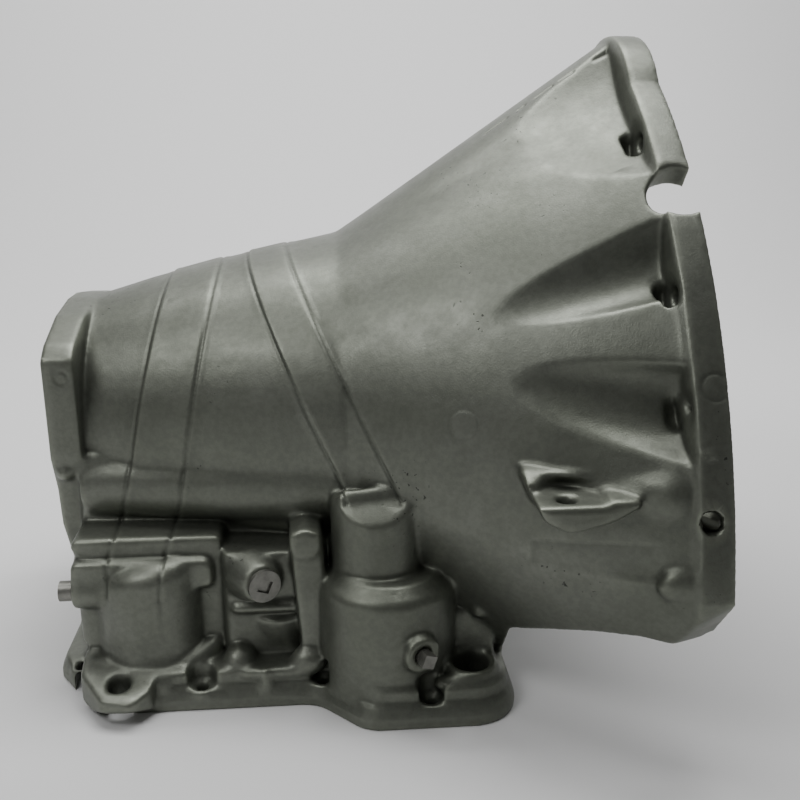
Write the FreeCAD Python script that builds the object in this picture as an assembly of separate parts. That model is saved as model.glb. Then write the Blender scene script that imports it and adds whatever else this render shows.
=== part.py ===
# Gearbox housing: the one-piece die-cast case of a longitudinal automatic gearbox, with
# the plugs, pins and hardware that stay in it when it is bare.
#
# Frame: X runs forward along the shaft axis, Y to the left, Z up.  The origin lies on the
# shaft axis in the engine mating face.  All lengths are millimetres, angles are degrees.
import FreeCAD, Part
import math
import os

V = FreeCAD.Vector

# ---------------------------------------------------------------- main lengths and walls
case_length = 392.0            # engine face to extension face
bell_length = 205.0            # engine face to the front end of the barrel
rear_x = -case_length
barrel_x = -bell_length
wall = 6.0                     # barrel and sump walls
bell_wall = 9.0                # bell wall, measured across the shaft axis
reach = case_length + 8.0      # length of a cutting tool that passes right through
over = 1.0                     # cutters and joined pieces reach this far past a face
seam_turn = 17.0               # turned surfaces close away from the vertical mid plane

# ---------------------------------------------------------------- bell and engine flange
# Rim outline in the YZ plane: a rounded crown, long flanks and hips, the same on both sides.
rim_crown = (0.0, 256.0)
rim_shoulder = (60.0, 224.0)
rim_flank = (178.0, 107.0)
rim_hip = (239.0, -49.0)
rim_keel = (0.0, -250.0)
flange_t = 20.0                # engine flange thickness
flange_step = 4.0              # the flange stands proud of the bell wall
flange_land = 16.0             # width of the machined mating face
sill = [(-40.0, -82.0), (-62.0, -87.0), (-85.0, -96.0), (-104.0, -105.0)]   # lower edge, X and Z
hip_chamfer = (27.0, 33.0)     # cut off each lower corner of the bell, in Y and Z
hip_run = 48.0                 # the cut runs out over this length
hip_fade = 18.0                # by moving outwards by this much
engine_bolts = [(83.0, 187.0), (161.0, 105.0), (194.0, 47.0)]
engine_bolt_r = 5.5
spotface_r = 13.5
spotface_depth = 1.5
dowel_place = (219.0, 0.0)     # engine dowel hole, one on each side
dowel_r = 6.4
dowel_depth = 14.0
wrench_r = 12.5                # round wrench clearance behind each engine bolt
wrench_length = 7.0
bolt_boss_r = 18.0             # boss that backs each engine bolt inside the bell
bolt_boss_length = 36.0
# Scallops behind the flange: outline at the flange as angle from the top and radius, then
# length, fall towards the shaft and drift in angle along the length.
scallops = [([(3.0, 252.0), (11.0, 219.0), (26.0, 205.0), (36.0, 211.0), (40.0, 224.0)],
             84.0, 24.0, 0.0),
            ([(43.0, 214.0), (47.5, 191.0), (54.0, 188.0), (58.0, 206.0)], 116.0, 31.0, 5.0),
            ([(69.0, 208.0), (72.5, 194.0), (79.0, 196.0), (84.0, 220.0)], 116.0, 34.0, -6.0)]
scallop_wall = 7.0
notch_angle = 129.2            # notch for the engine's lifting eye, from +Y round to +Z
notch_r = 17.0
notch_x = -9.0
notch_slot = 13.0              # half width of its open end

# ---------------------------------------------------------------- barrel
pump_seat_x = -176.0           # annular face that the oil pump bolts to
pump_recess_r = 128.0
pump_seat_width = 24.0
pump_bore_r = pump_recess_r - pump_seat_width
pump_bolt_pcd = 2 * pump_recess_r - pump_seat_width
pump_bore_wall = 20.6          # barrel wall outside the pump bore
barrel_front_r = pump_bore_r + pump_bore_wall   # the bell's cone starts from it too
barrel_rear_r = 80.0
barrel_swell = [(-336.0, 94.0), (-290.0, 106.0), (-245.0, 116.0)]   # stations between, X and radius
barrel_join = 0.5              # the barrel reaches this far into the bell
pump_bolt_angles = [-135.0, -100.0, -45.0, 0.0, 45.0, 100.0, 135.0]   # from the top
pump_bolt_r = 3.4
pump_bolt_depth = 18.0
band_lift = 1.2                # raised straps on the barrel
bands = [((-317.0, -284.0), (-348.0, -312.0)), ((-271.0, -241.0), (-197.0, -163.0))]
band_top_z = 118.0
band_low_z = -40.0

# ---------------------------------------------------------------- extension flange, rear
rear_flange_t = 20.0
rear_outline = [(13.0, 83.0), (47.0, 78.0), (81.0, 66.0), (92.0, 58.0), (92.0, -7.0),
                (83.0, -31.0), (80.0, -57.0), (61.0, -92.0)]
rear_round = 5.0
rear_wall = 20.0
rear_bolt_pcd = 146.0
rear_bolts = 6
rear_bolt_r = 4.2
rear_bolt_depth = 16.0

# ---------------------------------------------------------------- roller clutch cam
cam_outer_r = 62.0
cam_ring = 12.0                # from its outside to the ramps
cam_inner_r = cam_outer_r - cam_ring
cam_shoulder = 7.0             # width of the shoulder it seats on, round the rear bore
rear_bore_r = cam_outer_r - cam_shoulder
cam_width = 16.0
cam_rollers = 12
cam_roller_r = 3.4
cam_seat_wall = 12.0
set_screw_r = 4.0
set_screw_length = 14.0

# ---------------------------------------------------------------- sump and oil pan rail
rail_z = -155.0                # pan mating face
rail_t = 8.0
rail_overhang = 4.0            # the rail reaches this far behind the extension face
rail_rear_x = rear_x - rail_overhang
rail_front_x = -100.0
rail_right_y = -153.0
rail_servo_y = -184.0          # the rail bulges round the front servo
rail_left_y = 150.0
rail_bulge_x = (-226.0, -196.0)
rail_chamfer = (34.0, 48.0)    # cut off the rear right corner, in X and Y
rail_chamfer_r = 14.0          # rounding of the rail's corners: at the chamfer,
rail_bulge_r = 22.0            # where it bulges out,
rail_servo_r = 30.0            # round the front servo
rail_left_r = (24.0, 30.0)     # and on the left, front and rear
rail_land = 14.0               # width of the rail
rail_step = 2.2                # the rail's upper edge is set back by this much
rail_step_h = 6.0
rail_lip = 5.5                 # the skirt wall is set back from the rail edge
skirt_h = 16.0                 # skirt wall above the rail
rail_hole_r = 4.0
rail_boss_r = 8.5
rail_boss_h = 5.0
rail_hole_edge = 8.7           # hole centre to rail edge
rail_blind_depth = 14.0
corner_hole = (17.0, 39.0)     # first right screw, from the rail's rear and right sides
middle_hole_x = -298.0
bulge_hole_step = 4.0          # third right screw, ahead of the bulge's start
servo_hole = (-156.0, 3.0)     # screw beside the front servo: X, and its extra edge distance
left_holes = 4
left_hole_step = 70.0
left_hole_first_x = -140.0
front_holes = 4
front_hole_step = 76.0
rear_hole_y = 46.0
floor_z = -90.0                # floor between the barrel and the sump
floor_t = 8.0
block_inset = 14.0             # back of the sump block, ahead of the extension face
block_rear_x = rear_x + block_inset
block_front_x = -106.0
block_right_y = -120.0
block_left_y = 124.0
block_top_z = -62.0
block_r = 10.0
neck_half = 88.0               # half width of the casting between the barrel and the ledge
neck_flare = 12.0              # its sides lean out by this much downwards
neck_r = 6.0
sump_r = 12.0                  # corner rounding of the space inside the rail
sump_upper_r = 6.0
sump_mouth = 4.0               # the full opening goes this far above the rail
neck_top_z = -6.0

# ---------------------------------------------------------------- servo side (right)
front_servo = (-180.0, -132.0)
front_servo_r = 44.0
front_servo_top = -72.0
front_servo_bore = 36.0
guide_place = (-186.0, -128.0)  # upper guide cylinder of the front servo
guide_r = 29.0
guide_top = -19.0
guide_bore = 18.0
guide_ridge_y = -141.0         # where the sloping face of the guide's cap starts
guide_slant = 40.0             # slope of that face towards the right
guide_lean = 6.0               # the cap falls by this angle towards the rear
guide_round = 3.0
servo_step_r = 36.0            # low step round the foot of the guide
servo_step_h = 4.0
servo_web_top = -55.0          # wall between the front servo and the bell
servo_web_half = 42.0
rear_servo_inset = 61.0        # rear servo axis, ahead of the extension face
rear_servo = (rear_x + rear_servo_inset, -103.0)
rear_servo_r = 37.0
rear_servo_top = -66.0
rear_servo_lean = 11.0         # its top falls by this angle towards the rear
rear_servo_round = 12.0
rear_servo_bore = 29.0
shoulder_r = 9.0               # rounded shoulder of each servo cylinder
servo_flare = 9.0              # the rear servo widens by this much at its foot
servo_flare_h = 27.0
servo_roof = 8.0               # metal above the front servo's bore
guide_roof = 18.0              # and above the guide's
guide_foot = 5.0               # the guide starts this far below the front servo's top
guide_web_drop = 6.0           # top of the web behind it, below its own top
web_inset = 2.0                # a web is this much narrower than the form it backs
ledge_z = (-84.0, -64.0)
ledge_length = 88.0            # from the back of the sump block
ledge_front_x = block_rear_x + ledge_length
ledge_y = -127.0
ledge_strip_z = (-61.0, -51.0)  # rounded strip above the ledge plate
ledge_strip_y = -121.0
ledge_strip_run = 6.0          # it ends this far ahead of the ledge plate
ledge_groove_y = -112.0        # floor of the groove between them
ledge_r = (3.0, 7.0, 4.0)      # corner rounding of the plate: below, top front, top rear,
ledge_strip_r = 4.0            # of the strip,
ledge_groove_r = (2.0, 3.0, 5.0)   # and of the groove's floor: rear, low front, top front
gallery = (-118.0, -86.0)      # drilled oil gallery along the ledge, in Y and Z
gallery_r = 11.5
gallery_length = 60.0
gallery_front_x = block_rear_x + gallery_length
gallery_end = 13.0             # metal ahead of its drilling
port_block_x = (-284.0, -237.0)
port_block_y = -128.0
port_block_r = 5.0
port_block_proud = 2.0         # it stands this much above the sump block
port_place = (-266.0, -122.0, -76.0)
port_turn = 25.0               # the port axis is turned this far forward
port_boss_r = (18.0, 12.5)     # at its root and at its face
port_boss_length = 20.0
port_web_r = (12.0, 24.0)      # tapered web below the port boss, its foot and top
port_web_top = -105.0
port_web_shift = 16.0          # the web stands this far ahead of the port
web_rib_x = (-241.0, -220.0)
web_rib_y = -141.0
web_rib_z = -46.0
web_rib_r = 4.0
web_rib_lean = (8.0, 6.0)      # its foot stands ahead of its top: rear edge, front edge
pad_place = (-231.0, -49.0)    # pad with a round lower edge near the top of the rib, X and Z
pad_r = 10.0
pad_proud = 2.5
flank_y = -134.0
flank_rear_x = -140.0
flank_top_z = -72.0
flank_fall = 24.0              # its front end is this much lower
flank_slope_x = 8.0            # and the slope starts this far ahead of its rear end
flank_r = (3.0, 8.0)           # corner rounding: rear, and at both ends of the slope
tube_place = (-129.0, -158.0)  # filler tube hole
tube_boss_r = 17.0
tube_r = 11.5
tube_top = -124.0
lug_corners = [(17.0, -112.0, 4.0), (18.0, -142.0, 8.0), (35.0, -166.0, 7.0),
               (54.0, -170.0, 7.0), (65.0, -158.0, 7.0), (70.0, -112.0, 4.0)]
lug_outline = [(rear_x + inset, y, r) for inset, y, r in lug_corners]
lug_profile = [(-112.0, -125.0), (-138.0, -130.0), (-171.0, -138.0), (-171.0, -143.0),
               (-153.0, -152.0), (-112.0, -152.0)]   # sloping top and underside, Y and Z
lug_hole = (rear_x + 44.0, -151.0)
lug_hole_r = 7.0
swell_rear = (-70.0, -30.0, 24.0)    # rounded swell along the lower barrel: Y, Z, radius
swell_front = (-108.0, -22.0, 27.0)
swell_front_x = -160.0
servo_tap_angle = 22.0         # pressure tap on the front servo, turned forward
servo_tap_z = -108.0
tap_boss_r = 12.0
tap_boss_length = 7.0
tap_boss_root = 6.0            # the boss starts this far inside the servo's wall
servo_tap_depth = 21.0

# ---------------------------------------------------------------- bell lug (right)
bell_lug_x = -86.0
bell_lug_z = 2.0
bell_lug_y = (-218.0, -150.0)  # outer edge, and how far it reaches into the bell wall
bell_lug_half = 23.0
bell_lug_drop = 17.0           # depth of the shelf below the spot face, at the hole
gusset_length = 40.0           # the shelf tapers forward over this length
gusset_front_x = bell_lug_x + gusset_length
# Side view of the shelf from its hole and spot face: X, Z and corner rounding.
bell_lug_side = [(-bell_lug_half, 10.0, 2.0), (gusset_length, 12.0, 6.0),
                 (gusset_length - 2.0, -3.0, 3.0), (bell_lug_half, -11.0, 6.0),
                 (0.0, -bell_lug_drop, 12.0), (-15.0, -9.0, 8.0)]
bell_lug_full_y = -200.0       # from here inwards the shelf has its full width
bell_lug_r = 26.0
bell_lug_face_r = 21.0
bell_lug_hole_y = -204.0
bell_lug_hole_r = 5.4
bell_lug_shoulder = [(-150.0, 14.0), (-184.0, 12.0), (-197.0, 6.0), (-222.0, 4.0)]   # top, Y and Z
bell_lug_clear = 5.0           # height the spot face's cutter clears above the pad
bell_lug_drill_run = 12.0      # the drill runs this far past the underside

# ---------------------------------------------------------------- linkage side (left)
lever_place = (-262.0, -108.0)  # manual lever shaft, in X and Z
lever_boss_r = 17.0
lever_boss_y = 140.0
lever_shaft_r = 8.0
seal_r = 12.5
seal_depth = 7.0
switch_place = (-215.0, -112.0)
switch_boss_r = 17.0
switch_r = 10.0
cooler_places = [(-150.0, -78.0), (rear_x + 74.0, -78.0)]
cooler_boss_r = 13.0
cooler_boss_y = 136.0
cooler_r = 6.0
cooler_depth = 16.0
governor_place = (rear_x + 34.0, -112.0)
adjuster_place = (-216.0, -20.0)
adjuster_boss_r = 15.0
adjuster_boss_y = 146.0
adjuster_r = 6.0
adjuster_tip_y = 106.0         # the screw reaches into the barrel to this point
adjuster_stand = 18.0          # and stands this far out of its boss
adjuster_square = 8.0
adjuster_square_h = 8.0
nut_t = 8.0
nut_flats = 19.0
starter_place = (198.0, -35.0)  # starter nose, in Y and Z
starter_boss_r = 40.0
starter_r = 30.0
starter_pad_x = -92.0
starter_bolt_gap = 38.0        # half the distance between the two starter bolts
starter_bolt_r = 5.0
starter_ear_r = 12.0

# ---------------------------------------------------------------- pipe plugs and pins
plug_r = 5.0
plug_length = 10.0
plug_clearance = 0.15
plug_run = 6.0                 # a plug's drilling goes this far past the plug
plug_square = 8.0
plug_square_h = 7.0
socket_plug_r = 10.5
socket_plug_t = 3.0
socket_square = 8.0
socket_floor = 1.0
gallery_plug_r = 6.5
gallery_plug_h = 8.0
pin_r = 5.0
kickdown_pin = (-92.0, -69.0)
kickdown_pin_x = (-232.0, -178.0)
kickdown_slot_x = (-222.0, -206.0)
reverse_pin = (-62.0, -74.0)
reverse_pin_x = (rear_x + 40.0, rear_x + 94.0)
reverse_slot_x = (rear_x + 59.0, rear_x + 77.0)
pin_plug_t = 5.0
slot_y = (-8.5, 34.0)          # each lever's slot, from its pin's axis
slot_top = 16.0                # and its height above that axis

sump_rear_x = rail_rear_x + rail_land
sump_front_x = rail_front_x - rail_land
sump_top_z = floor_z - floor_t
rail_top_z = rail_z + rail_t


# ---------------------------------------------------------------- geometry helpers
def box(x0, x1, y0, y1, z0, z1):
    """Block between two opposite corners."""
    return Part.makeBox(x1 - x0, y1 - y0, z1 - z0, V(x0, y0, z0))


def rod(start, direction, radius, length):
    """Round bar from a point along a direction."""
    bar = Part.makeCylinder(radius, length, V(*start), V(*direction))
    bar.rotate(V(*start), V(*direction), seam_turn)
    return bar


def rounded_wire(corners, place):
    """Closed wire through corners (u, v, radius), each corner rounded by a tangent arc."""
    edges = []
    ends = []
    count = len(corners)
    for i, (u, v, r) in enumerate(corners):
        here = V(u, v, 0)
        before = V(corners[i - 1][0], corners[i - 1][1], 0)
        after = V(corners[(i + 1) % count][0], corners[(i + 1) % count][1], 0)
        back = (before - here).normalize()
        ahead = (after - here).normalize()
        half = back.getAngle(ahead) / 2
        cut = r / math.tan(half)
        middle = here + (back + ahead).normalize() * (r / math.sin(half) - r)
        ends.append((here + back * cut, middle, here + ahead * cut, r))
    for i, (start, middle, end, r) in enumerate(ends):
        if r > 0:
            edges.append(Part.Arc(place(start), place(middle), place(end)).toShape())
        following = ends[(i + 1) % count][0]
        if (following - end).Length > 1e-6:
            edges.append(Part.LineSegment(place(end), place(following)).toShape())
    return Part.Wire(edges)


def slab(corners, z0, z1):
    """Plate with a rounded outline in XY between two heights."""
    wire = rounded_wire(corners, lambda p: V(p.x, p.y, z0))
    return Part.Face(wire).extrude(V(0, 0, z1 - z0))


def cross_plate(corners, x0, x1):
    """Plate with a rounded outline in YZ between two stations along the shaft."""
    wire = rounded_wire(corners, lambda p: V(x0, p.x, p.y))
    return Part.Face(wire).extrude(V(x1 - x0, 0, 0))


def side_plate(corners, y0, y1):
    """Plate with a rounded outline in XZ between two positions across the shaft."""
    wire = rounded_wire(corners, lambda p: V(p.x, y0, p.y))
    return Part.Face(wire).extrude(V(0, y1 - y0, 0))


def sharp(points):
    """The same corners with no rounding."""
    return [(u, v, 0.0) for u, v in points]


def hexagon(centre, direction, flats, height):
    """Hexagonal prism standing on a point, its axis along a direction."""
    corners = [V(flats / math.sqrt(3), 0, 0)]
    turn = FreeCAD.Rotation(V(0, 0, 1), 60)
    for _ in range(6):
        corners.append(turn.multVec(corners[-1]))
    prism = Part.Face(Part.makePolygon(corners)).extrude(V(0, 0, height))
    prism.Placement = FreeCAD.Placement(V(*centre), FreeCAD.Rotation(V(0, 0, 1), V(*direction)))
    return prism


def square_bar(centre, direction, flats, height):
    """Square prism standing on a point, its axis along a direction."""
    bar = Part.makeBox(flats, flats, height, V(-flats / 2, -flats / 2, 0))
    bar.Placement = FreeCAD.Placement(V(*centre), FreeCAD.Rotation(V(0, 0, 1), V(*direction)))
    return bar


def along(start, direction, distance):
    """Point at a distance from a start along a unit direction."""
    return tuple(a + b * distance for a, b in zip(start, direction))


def domed_post(place, radius, z0, z1, shoulder):
    """Upright cylinder whose top edge is rounded by a quarter circle."""
    x, y = place
    bend = shoulder * math.sqrt(0.5)
    outline = [V(0, 0, z0), V(radius, 0, z0), V(radius, 0, z1 - shoulder)]
    crest = V(radius - shoulder, 0, z1)
    knee = V(radius - shoulder + bend, 0, z1 - shoulder + bend)
    edges = [Part.LineSegment(outline[0], outline[1]).toShape(),
             Part.LineSegment(outline[1], outline[2]).toShape(),
             Part.Arc(outline[2], knee, crest).toShape(),
             Part.LineSegment(crest, V(0, 0, z1)).toShape(),
             Part.LineSegment(V(0, 0, z1), outline[0]).toShape()]
    post = Part.Face(Part.Wire(edges)).revolve(V(0, 0, 0), V(0, 0, 1), 360)
    post.translate(V(x, y, 0))
    return post


# ---------------------------------------------------------------- bell
def on_circle(point, radius):
    """The point moved along its ray from the shaft axis to a radius."""
    size = math.hypot(*point)
    return (point[0] * radius / size, point[1] * radius / size)


def bell_wire(x, move):
    """Closed outline of four arcs at station x: crown, two flanks and keel."""
    def at(point, side=1):
        y, z = move(point)
        return V(x, side * y, z)
    arcs = [Part.Arc(at(rim_shoulder), at(rim_crown), at(rim_shoulder, -1)),
            Part.Arc(at(rim_shoulder, -1), at(rim_flank, -1), at(rim_hip, -1)),
            Part.Arc(at(rim_hip, -1), at(rim_keel), at(rim_hip)),
            Part.Arc(at(rim_hip), at(rim_flank), at(rim_shoulder))]
    return Part.Wire([arc.toShape() for arc in arcs])


def rim_wire(x, inset):
    """The rim outline drawn in towards the shaft axis."""
    return bell_wire(x, lambda p: on_circle(p, math.hypot(*p) - inset))


def ring_wire(x, radius):
    """A circle in four arcs that match the rim outline."""
    return bell_wire(x, lambda p: on_circle(p, radius))


def hip_wire(x, side, outward):
    """Triangle that cuts a lower corner of the bell, at a station and moved outwards."""
    y, z = rim_hip
    dy, dz = hip_chamfer
    corners = [V(x, side * (y + outward), z), V(x, side * (y - dy + outward), z - dz),
               V(x, side * (y + dy + outward), z - dz)]
    return Part.makePolygon(corners + corners[:1])


def bell_body():
    """Outer bell: a ruled cone from the barrel to the rim, and the engine flange."""
    cone = Part.makeLoft([ring_wire(barrel_x, barrel_front_r), rim_wire(-flange_t, flange_step)],
                         True, True)
    flange = Part.Face(rim_wire(-flange_t, 0)).extrude(V(flange_t, 0, 0))
    body = cone.fuse(flange)
    below = box(barrel_x - over, over, -reach, reach, -reach, rail_top_z)
    edge = [(over, sill[0][1])] + sill + [(sill[-1][0], -reach), (over, -reach)]
    open_below = side_plate(sharp(edge), -reach, reach)
    corners = []
    for side in (-1, 1):
        corners.append(Part.makeLoft([hip_wire(over, side, 0), hip_wire(-hip_run, side, hip_fade)],
                                     True, True))
    return body.cut([below, open_below] + corners)


def bell_cavity():
    """Space inside the bell, open to the engine and below, with a floor over the sump."""
    front = -flange_t
    cone = Part.makeLoft([ring_wire(pump_seat_x, pump_recess_r),
                          rim_wire(front, flange_step + bell_wall)], True, True)
    mouth = Part.Face(rim_wire(front, flange_land)).extrude(V(flange_t + over, 0, 0))
    floor = box(pump_seat_x - over, block_front_x + 2 * over, -reach, reach, -reach, floor_z)
    backs = [rod((-bolt_boss_length, y, z), (1, 0, 0), bolt_boss_r, bolt_boss_length + over)
             for y, z in both_sides(engine_bolts)]
    backs += [scallop(spec, side, scallop_wall) for spec in scallops for side in (-1, 1)]
    pump = rod((barrel_x - over, 0, 0), (1, 0, 0), pump_bore_r, pump_seat_x - barrel_x + 2 * over)
    pump_floor = box(barrel_x - 2 * over, pump_seat_x + 2 * over, -reach, reach, -reach, floor_z)
    return cone.fuse(mouth).cut([floor] + backs).fuse(pump.cut(pump_floor))


def both_sides(places):
    """Places (y, z) on the right and their mirror images on the left."""
    return [(side * y, z) for y, z in places for side in (-1, 1)]


def scallop(spec, side, inset):
    """Tapering scallop in the bell wall behind the flange, drawn in towards the shaft."""
    outline, length, fall, drift = spec
    last = len(outline) - 1

    def at(angle, radius):
        turn = math.radians(angle)
        return V(-flange_t, side * radius * math.sin(turn), radius * math.cos(turn))

    points = []
    for i, (angle, radius) in enumerate(outline):
        spread = math.degrees(inset / radius) * ((i == last) - (i == 0))
        points.append(at(angle + spread, radius - inset))
    curve = Part.BSplineCurve()
    curve.interpolate(points)
    outside = [points[-1], at(outline[-1][0], reach), at(outline[0][0], reach), points[0]]
    wire = Part.Wire([curve.toShape()] + Part.makePolygon(outside).Edges)
    middle = (outline[0][0] + outline[-1][0]) / 2
    sideways = at(middle + 90, math.radians(drift) * outline[1][1])
    run = at(middle, -fall) + sideways
    run.x = -length
    return Part.Face(wire).extrude(run)


def engine_face_cuts():
    """Bolt holes with spot faces and wrench pockets, dowel holes and the lifting-eye notch."""
    cuts = []
    for y, z in both_sides(engine_bolts):
        cuts.append(rod((-flange_t - over, y, z), (1, 0, 0), engine_bolt_r, flange_t + 2 * over))
        cuts.append(rod((-flange_t - 2 * over, y, z), (1, 0, 0), spotface_r,
                        spotface_depth + 2 * over))
        cuts.append(rod((-flange_t - wrench_length, y, z), (1, 0, 0), wrench_r, wrench_length))
    cuts += [scallop(spec, side, 0) for spec in scallops for side in (-1, 1)]
    for y, z in both_sides([dowel_place]):
        cuts.append(rod((-dowel_depth, y, z), (1, 0, 0), dowel_r, dowel_depth + over))
    notch = rod((notch_x, 0, 0), (0, 1, 0), notch_r, reach)
    slot = box(notch_x, over, 0, reach, -notch_slot, notch_slot)
    for tool in (notch, slot):
        tool.rotate(V(0, 0, 0), V(1, 0, 0), notch_angle)
        cuts.append(tool)
    return cuts


# ---------------------------------------------------------------- barrel and rear flange
def barrel_solid(offset, rear, front):
    """Barrel turned about the shaft axis in tapering runs, grown or shrunk by an offset."""
    stations = [(rear, barrel_rear_r)] + barrel_swell + [(front, barrel_front_r)]
    profile = [V(rear, 0, 0)] + [V(x, 0, r + offset) for x, r in stations] + [V(front, 0, 0)]
    body = Part.Face(Part.makePolygon(profile + profile[:1])).revolve(V(0, 0, 0), V(1, 0, 0), 360)
    body.rotate(V(0, 0, 0), V(1, 0, 0), seam_turn)
    return body


def raised_bands():
    """Two slanting straps that stand a little proud of the barrel."""
    skin = barrel_solid(band_lift, rear_x + rear_flange_t / 2, barrel_x)
    straps = []
    for top, low in bands:
        plate = side_plate(sharp([(top[0], band_top_z), (top[1], band_top_z),
                                  (low[1], band_low_z), (low[0], band_low_z)]), -reach, reach)
        straps.append(skin.common(plate))
    return straps


def rear_flange():
    """Extension flange: a plate with a stepped outline, the same on both sides."""
    right = [(-y, z, rear_round) for y, z in rear_outline]
    left = [(y, z, rear_round) for y, z in reversed(rear_outline)]
    return cross_plate(right + left, rear_x, rear_x + rear_flange_t)


def barrel_cavity():
    """Space inside the barrel above the floor, with the roller clutch seat left standing."""
    inner_rear = rear_x + rear_wall
    hollow = barrel_solid(-wall, inner_rear, barrel_x)
    hollow = hollow.cut(box(inner_rear - over, barrel_x + over, -reach, reach, -reach, floor_z))
    seat = rod((inner_rear - over, 0, 0), (1, 0, 0), cam_outer_r + cam_seat_wall,
               cam_width + over)
    hollow = hollow.cut(seat)
    cam_seat = rod((inner_rear, 0, 0), (1, 0, 0), cam_outer_r, cam_width + over)
    bore = rod((rear_x - over, 0, 0), (1, 0, 0), rear_bore_r, rear_wall + 2 * over)
    return hollow.fuse([cam_seat, bore])


def ring_of_holes(x, direction, angles, pcd, radius, depth):
    """Blind holes on a circle about the shaft axis, at angles measured from the top."""
    holes = []
    for angle in angles:
        turn = math.radians(angle)
        start = (x, pcd / 2 * math.sin(turn), pcd / 2 * math.cos(turn))
        holes.append(rod(start, (direction, 0, 0), radius, depth))
    return holes


# ---------------------------------------------------------------- sump, rail and skirt
def rail_corners(inset):
    """Outline of the pan rail, drawn in by an inset."""
    x0 = rail_rear_x + inset
    x1 = rail_front_x - inset
    right = rail_right_y + inset
    servo = rail_servo_y + inset
    left = rail_left_y - inset
    chamfer_x, chamfer_y = rail_chamfer
    return [(x0, right + chamfer_y, rail_chamfer_r), (x0 + chamfer_x, right, rail_chamfer_r),
            (rail_bulge_x[0] + inset, right, rail_bulge_r),
            (rail_bulge_x[1] + inset, servo, rail_bulge_r - inset),
            (x1, servo, rail_servo_r - inset), (x1, left, rail_left_r[0] - inset),
            (x0, left, rail_left_r[1] - inset)]


def open_rail_holes():
    """Places of the pan screws that pass through the rail, near its outer edge."""
    right = [(rail_rear_x + corner_hole[0], rail_right_y + corner_hole[1]),
             (middle_hole_x, rail_right_y + rail_hole_edge),
             (rail_bulge_x[0] + bulge_hole_step, rail_right_y + rail_hole_edge),
             (servo_hole[0], rail_servo_y + rail_hole_edge + servo_hole[1])]
    left = [(left_hole_first_x - i * left_hole_step, rail_left_y - rail_hole_edge)
            for i in range(left_holes)]
    rear = [(rail_rear_x + rail_hole_edge, side * rear_hole_y) for side in (-1, 1)]
    return right + left + rear


def blind_rail_holes():
    """Places of the pan screws that end in the front wall of the sump."""
    return [(rail_front_x - rail_hole_edge, (i - (front_holes - 1) / 2) * front_hole_step)
            for i in range(front_holes)]


def sump_body():
    """Pan rail, skirt wall, valve-body block and the neck that joins them to the barrel."""
    rail = slab(rail_corners(0), rail_z, rail_top_z)
    skirt = slab(rail_corners(rail_lip), rail_top_z, rail_top_z + skirt_h)
    skirt = skirt.common(box(block_rear_x, reach, -reach, reach, rail_z, 0))
    step = slab(rail_corners(rail_step), rail_top_z, rail_top_z + rail_step_h)
    block = slab([(block_rear_x, block_right_y, block_r), (block_front_x, block_right_y, block_r),
                  (block_front_x, block_left_y, block_r), (block_rear_x, block_left_y, block_r)],
                 rail_top_z, block_top_z)
    foot = neck_half + neck_flare
    neck = slab([(block_rear_x, -neck_half, neck_r), (barrel_x, -foot, neck_r),
                 (barrel_x, foot, neck_r), (block_rear_x, neck_half, neck_r)],
                block_top_z, neck_top_z)
    section = sharp([(-foot, block_top_z), (-neck_half, neck_top_z), (neck_half, neck_top_z),
                     (foot, block_top_z)])
    neck = neck.common(cross_plate(section, block_rear_x, barrel_x))
    bosses = [rod((x, y, rail_top_z), (0, 0, 1), rail_boss_r, rail_boss_h)
              for x, y in open_rail_holes()]
    return [rail, step, skirt, block, neck] + bosses


def sump_cavity():
    """Space for the valve body, open to the pan."""
    x0, x1, y0, y1 = sump_rear_x, sump_front_x, rail_right_y + rail_land, rail_left_y - rail_land
    cavity = slab([(x0, y0, sump_r), (x1, y0, sump_r), (x1, y1, sump_r), (x0, y1, sump_r)],
                  rail_z - over, rail_top_z + sump_mouth)
    x0, x1, y0, y1 = (block_rear_x + wall, block_front_x - wall, block_right_y + wall,
                      block_left_y - wall)
    upper = slab([(x0, y0, sump_upper_r), (x1, y0, sump_upper_r), (x1, y1, sump_upper_r),
                  (x0, y1, sump_upper_r)], rail_z, sump_top_z)
    servo_walls = [rod((x, y, rail_z - 2 * over), (0, 0, 1), r, reach)
                   for (x, y), r in ((front_servo, front_servo_bore + wall),
                                     (rear_servo, rear_servo_bore + wall))]
    return cavity.fuse(upper).cut(servo_walls)


def rail_cuts():
    """Screw holes and the scallops that clear the screw bosses in the skirt wall."""
    cuts = []
    for x, y in open_rail_holes():
        cuts.append(rod((x, y, rail_z - over), (0, 0, 1), rail_hole_r,
                        rail_t + rail_boss_h + 2 * over))
        cuts.append(rod((x, y, rail_top_z + rail_boss_h), (0, 0, 1), rail_boss_r, skirt_h))
    for x, y in blind_rail_holes():
        cuts.append(rod((x, y, rail_z - over), (0, 0, 1), rail_hole_r, rail_blind_depth + over))
    return cuts


# ---------------------------------------------------------------- servo side
def leaning_post(place, radius, z0, z1, lean, edge_r):
    """Upright cylinder whose flat top falls towards the rear, its rim rounded."""
    x, y = place
    post = rod((x, y, z0), (0, 0, 1), radius, z1 - z0 + radius)
    above = box(-2 * radius, 2 * radius, -2 * radius, 2 * radius, 0, 3 * radius)
    above.rotate(V(0, 0, 0), V(0, 1, 0), -lean)
    above.translate(V(x, y, z1))
    post = post.cut(above)
    rim = [edge for edge in post.Edges if edge.BoundBox.ZMin > z1 - radius and len(edge.Vertexes) < 2]
    return post.makeFillet(edge_r, rim)


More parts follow.
